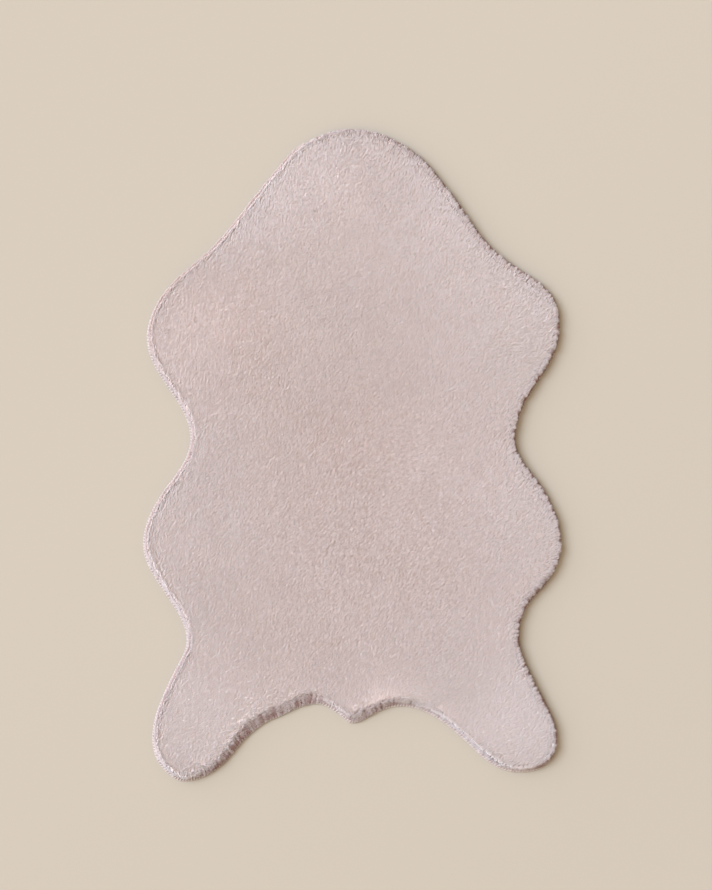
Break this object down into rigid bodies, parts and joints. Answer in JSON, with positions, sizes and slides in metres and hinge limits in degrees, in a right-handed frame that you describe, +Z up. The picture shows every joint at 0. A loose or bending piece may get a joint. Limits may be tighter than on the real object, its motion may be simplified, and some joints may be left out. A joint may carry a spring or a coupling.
{
  "type": "shag rug",
  "caption": "Hide-shaped accent rug of short faux fur, with an overlocked edge, that lies flat on the floor.",
  "frame": {"origin": "on the floor, under the middle of the rug's bounding box", "axes": "+Y towards the rounded head end, +X to the right seen from above with the head at the top, +Z up out of the fur"},
  "size_m": [0.5482, 0.8541, 0.0175],
  "materials": {
    "faux_fur": "matte",
    "overlock_thread": "matte"
  },
  "bodies": {
    "root": {"fur_panel": "faux_fur", "overlocked_edge": "overlock_thread"}
  },
  "joints": []
}
